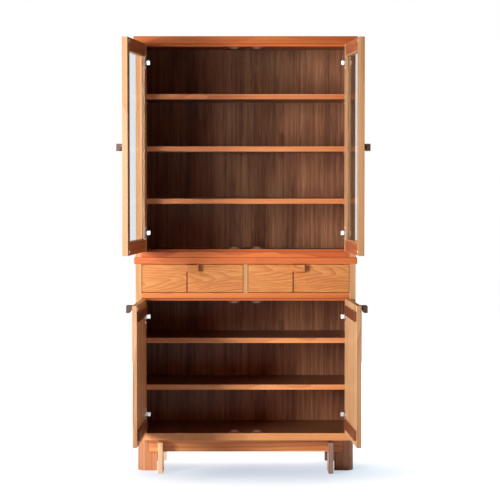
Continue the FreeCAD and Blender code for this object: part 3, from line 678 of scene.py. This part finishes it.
def domed_heads(name, middles, normals, radius, height, sides):
    """Screw heads: each is a profile of rim, dome and cross recess turned about its own normal.

    A point is middle + r (a cos t + b sin t) + k n, where n is the normal, a and b are square to
    it, t runs round the head and (r, k) runs along the profile from the rim to the recess.
    """
    profile = np.array(SCREW_PROFILE)
    rows = len(profile) - 1
    r = (profile[:-1, 0] * radius)[:, None, None]
    k = (profile[:-1, 1] * height)[:, None, None]
    turns = np.linspace(0, 2 * np.pi, sides, endpoint=False)[None, :, None]
    steps = np.arange(sides)
    after = np.roll(steps, -1)
    low = sides * np.arange(rows - 1)[:, None]
    high = low + sides
    walls = np.stack((low + steps, low + after, high + after, high + steps), axis=-1).reshape(-1, 4)
    last = sides * (rows - 1)
    top = np.stack((last + steps, last + after, np.full(sides, sides * rows)), axis=-1)
    base = steps[::-1]
    points = []
    faces = []
    for index, (middle, normal) in enumerate(zip(middles, normals)):
        normal = np.array(normal) / np.linalg.norm(normal)
        first = np.cross(normal, (0.0, 0.0, 1.0))
        first /= np.linalg.norm(first)
        second = np.cross(normal, first)
        ring = first * np.cos(turns) + second * np.sin(turns)
        points.append((np.array(middle) + r * ring + k * normal).reshape(-1, 3))
        points.append([np.array(middle) + profile[-1, 1] * height * normal])
        start = index * (sides * rows + 1)
        faces += (start + walls).tolist() + (start + top).tolist() + [(start + base).tolist()]
    return mesh_object(name, np.vstack(points), faces)


def node_points(node):
    """The points of a CAD node at rest, as an array."""
    found = NODES[node]
    flat = np.empty(3 * len(found.data.vertices))
    found.data.vertices.foreach_get("co", flat)
    placed = np.array(found.matrix_world)
    return flat.reshape(-1, 3) @ placed[:3, :3].T + placed[:3, 3]


def hinge_spots():
    """The hinges on one side from the lowest: (height, rear end of the arm) of each.

    The heights of the mounts' points fall into four groups, one for each hinge.
    """
    points = node_points("hinge_mounts")
    points = points[np.argsort(points[:, 2])]
    groups = np.split(points, np.flatnonzero(np.diff(points[:, 2]) > HINGE_SPACING) + 1)
    return [((group[0, 2] + group[-1, 2]) / 2, group[:, 1].max()) for group in groups]


class CUPBOARD_OT_screws(bpy.types.Operator):
    """Makes the screws that hold the hinges' plates and flanges"""

    bl_idname = "cupboard.screws"
    bl_label = "Hinge screws"

    def execute(self, context):
        sizes = context.scene.cupboard_sizes
        shape = (sizes.screw_radius, sizes.screw_height, sizes.screw_sides)
        bright = plated_metal("screw steel", context.scene.cupboard_colours.metal, SCREW_ROUGHNESS)
        spots = hinge_spots()
        if len(spots) != HINGES_TO_A_SIDE:
            raise RuntimeError(f"{len(spots)} hinges to a side, not {HINGES_TO_A_SIDE}")
        wall = np.abs(node_points("hinge_mounts")[:, 0]).max() - PLATE_THICK + SCREW_SINK
        middles = []
        normals = []
        for height, rear in spots:
            for side in (-1, 1):
                for offset in (-PLATE_SCREW_OFFSET, PLATE_SCREW_OFFSET):
                    middles.append((side * wall, rear - PLATE_TO_REAR, height + offset))
                    normals.append((-side, 0.0, 0.0))
        screws = domed_heads("mount_screws", middles, normals, *shape)
        screws.data.materials.append(bright)
        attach(screws, "case")
        for joint in frame["joints"]:
            if not joint["name"].endswith("_door_swing"):
                continue
            level, side_word = joint["name"].split("_")[:2]
            side = -1 if side_word == "left" else 1
            turn = door_turn(level, side_word)
            along = np.array((math.cos(turn), math.sin(turn), 0.0))
            inward = np.array((-math.sin(turn), math.cos(turn), 0.0))
            edge = np.array((joint["pos_m"][0], joint["pos_m"][1], 0.0))
            centre_line = edge - side * CUP_CENTRE * along + (FLANGE_FACE[level] - SCREW_SINK) * inward
            rows = spots[:2] if level == "lower" else spots[2:]
            middles = [tuple(centre_line + np.array((0.0, 0.0, height + offset)))
                       for height, _ in rows for offset in (-CUP_SCREW_OFFSET, CUP_SCREW_OFFSET)]
            normals = [inward] * len(middles)
            screws = domed_heads(f"{level}_{side_word}_door_screws", middles, normals, *shape)
            screws.data.materials.append(bright)
            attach(screws, joint["child"])
        return {"FINISHED"}


def seen_straight(tree, place):
    """One for rays from the camera, also through glass, and zero for the light on the cupboard."""
    path = add(tree, "ShaderNodeLightPath", place)
    return maths(tree, (place[0] + 1, place[1]), "MAXIMUM", path.outputs["Is Camera Ray"],
                 path.outputs["Is Transmission Ray"])


def studio_floor(size, colour, glow, gain):
    """A wide floor of white paper.

    It lights the cupboard from below like paper. The camera sees that light raised by the gain
    and added to a pale glow, so that only a soft shadow shows. Near the cupboard the glow is
    bluish grey, a painted shadow in an oval round its base; away from it the glow rises to plain
    white, by a smooth step of the oval distance.
    """
    points = np.array([(-size, -size, 0.0), (size, -size, 0.0), (size, size, 0.0), (-size, size, 0.0)])
    floor = mesh_object("studio_floor", points, [(0, 1, 2, 3)])
    material = bpy.data.materials.new("studio paper")
    material.use_nodes = True
    tree = material.node_tree
    tree.nodes.clear()
    seen = seen_straight(tree, (0, 1))
    tint = mixed(tree, (3, 0), seen, colour, (gain, gain, gain))
    paper = add(tree, "ShaderNodeBsdfDiffuse", (4, 0))
    join(tree, tint, paper.inputs["Color"])
    place = add(tree, "ShaderNodeTexCoord", (0, 4))
    moved = vector_maths(tree, (1, 4), "SUBTRACT", place.outputs["Object"], FLOOR_SHADE_MIDDLE)
    oval = vector_maths(tree, (2, 4), "MULTIPLY", moved, FLOOR_SHADE_OVAL)
    away = vector_maths(tree, (3, 4), "LENGTH", oval)
    step = smooth_step(tree, (4, 4), away, FLOOR_SHADE_NEAR, FLOOR_SHADE_FAR)
    white = add(tree, "ShaderNodeEmission", (6, 2))
    join(tree, mixed(tree, (5, 4), step, glow, (1, 1, 1)), white.inputs["Color"])
    join(tree, seen, white.inputs["Strength"])
    both = add(tree, "ShaderNodeAddShader", (7, 0))
    join(tree, paper.outputs[0], both.inputs[0])
    join(tree, white.outputs[0], both.inputs[1])
    out = add(tree, "ShaderNodeOutputMaterial", (8, 0))
    join(tree, both.outputs[0], out.inputs["Surface"])
    floor.data.materials.append(material)
    return floor


def studio_world(level, colour):
    """A world that lights at its level and colour and shows as white to the camera and through glass."""
    world = bpy.data.worlds.new("studio world")
    bpy.context.scene.world = world
    world.use_nodes = True
    tree = world.node_tree
    tree.nodes.clear()
    seen = seen_straight(tree, (0, 0))
    background = add(tree, "ShaderNodeBackground", (4, 0))
    join(tree, mixed(tree, (3, 1), seen, colour, (1, 1, 1)), background.inputs["Color"])
    strength = maths(tree, (3, 0), "MULTIPLY_ADD", seen, 1.0 - level, level)
    join(tree, strength, background.inputs["Strength"])
    out = add(tree, "ShaderNodeOutputWorld", (5, 0))
    join(tree, background.outputs[0], out.inputs["Surface"])


def soft_lamp(name, front, shape, power):
    """A rectangular lamp: its place and target, with Y from the front, and its width and height."""
    place, target, wide, high = shape
    data = bpy.data.lights.new(name, "AREA")
    data.shape = "RECTANGLE"
    data.size = wide
    data.size_y = high
    data.energy = power
    lamp = bpy.data.objects.new(name, data)
    bpy.context.scene.collection.objects.link(lamp)
    lamp.location = (place[0], front + place[1], place[2])
    aim = Vector((target[0], front + target[1], target[2]))
    lamp.rotation_euler = (aim - lamp.location).to_track_quat("-Z", "Y").to_euler()
    return lamp


def light_only(lamp, name, pieces):
    """Lets a lamp light these pieces and nothing else."""
    lit = bpy.data.collections.new(name)
    for piece in pieces:
        lit.objects.link(piece)
    lamp.light_linking.receiver_collection = lit


def photo_camera(front):
    """A camera at the photograph's distance, height and tilt, with its frame's middle."""
    data = bpy.data.cameras.new("photo_camera")
    data.sensor_width = SENSOR_WIDTH
    data.lens = FOCAL_PIXELS / IMAGE_PIXELS * SENSOR_WIDTH
    data.shift_x = (IMAGE_PIXELS / 2 - MIDDLE_PIXEL) / IMAGE_PIXELS
    data.clip_end = CAMERA_REACH
    camera = bpy.data.objects.new("photo_camera", data)
    bpy.context.scene.collection.objects.link(camera)
    camera.location = (0.0, front - CAMERA_DISTANCE, CAMERA_HEIGHT)
    camera.rotation_euler = (math.radians(90) - CAMERA_PITCH, 0.0, 0.0)
    return camera


class CUPBOARD_OT_stage(bpy.types.Operator):
    """Makes the floor, the white world, the soft lamps and the camera, after all the pieces"""

    bl_idname = "cupboard.stage"
    bl_label = "Stage"

    def execute(self, context):
        colours = context.scene.cupboard_colours
        light = context.scene.cupboard_light
        floor = studio_floor(context.scene.cupboard_sizes.floor_size, colours.floor, colours.floor_shadow_glow,
                             light.floor_gain)
        studio_world(light.world_level, colours.sky)
        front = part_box("lower_side_left")[0].y
        soft_lamp("key_lamp", front, KEY_LAMP, light.key_power)
        rear = soft_lamp("floor_lamp", 0.0, FLOOR_LAMP, light.floor_power)
        light_only(rear, "paper", [floor])
        rear.visible_camera = False
        rear.visible_glossy = False
        rear.visible_transmission = False
        above = soft_lamp("top_lamp", front, TOP_LAMP, light.top_power)
        light_only(above, "top", [NODES["top_board"]])
        glint = soft_lamp("metal_lamp", front, METAL_LAMP, light.metal_power)
        shiny = [NODES[name] for name in sorted(NODES)
                 if name.endswith("_hardware") or name == "hinge_mounts"]
        shiny += [piece for piece in context.scene.objects if piece.name.endswith("_screws")]
        light_only(glint, "shiny metal", shiny)
        context.scene.camera = photo_camera(front)
        context.scene.view_settings.view_transform = "Standard"
        return {"FINISHED"}


OPERATORS = (
    CUPBOARD_OT_case,
    CUPBOARD_OT_doors,
    CUPBOARD_OT_glass,
    CUPBOARD_OT_drawers,
    CUPBOARD_OT_pulls,
    CUPBOARD_OT_metalwork,
    CUPBOARD_OT_screws,
    CUPBOARD_OT_stage,
)


class CUPBOARD_PT_sidebar(bpy.types.Panel):
    """Lists the steps and what a user can change"""

    bl_idname = "CUPBOARD_PT_sidebar"
    bl_label = "Kitchen cupboard"
    bl_space_type = "VIEW_3D"
    bl_region_type = "UI"
    bl_category = "Cupboard"

    def draw(self, context):
        column = self.layout.column()
        for operator in OPERATORS:
            column.operator(operator.bl_idname)
        for group in (context.scene.cupboard_colours, context.scene.cupboard_sizes,
                      context.scene.cupboard_light):
            for name in group.__annotations__:
                column.prop(group, name)


GROUPS = (CupboardColours, CupboardSizes, CupboardLight)


def register():
    for group in GROUPS:
        bpy.utils.register_class(group)
    bpy.types.Scene.cupboard_colours = PointerProperty(type=CupboardColours)
    bpy.types.Scene.cupboard_sizes = PointerProperty(type=CupboardSizes)
    bpy.types.Scene.cupboard_light = PointerProperty(type=CupboardLight)
    for operator in OPERATORS:
        bpy.utils.register_class(operator)
    bpy.utils.register_class(CUPBOARD_PT_sidebar)


def unregister():
    bpy.utils.unregister_class(CUPBOARD_PT_sidebar)
    for operator in reversed(OPERATORS):
        bpy.utils.unregister_class(operator)
    del bpy.types.Scene.cupboard_light
    del bpy.types.Scene.cupboard_sizes
    del bpy.types.Scene.cupboard_colours
    for group in reversed(GROUPS):
        bpy.utils.unregister_class(group)


def main():
    register()
    bpy.ops.cupboard.case()
    bpy.ops.cupboard.doors()
    bpy.ops.cupboard.glass()
    bpy.ops.cupboard.drawers()
    bpy.ops.cupboard.pulls()
    bpy.ops.cupboard.metalwork()
    bpy.ops.cupboard.screws()
    bpy.ops.cupboard.stage()


if __name__ == "__main__":
    main()
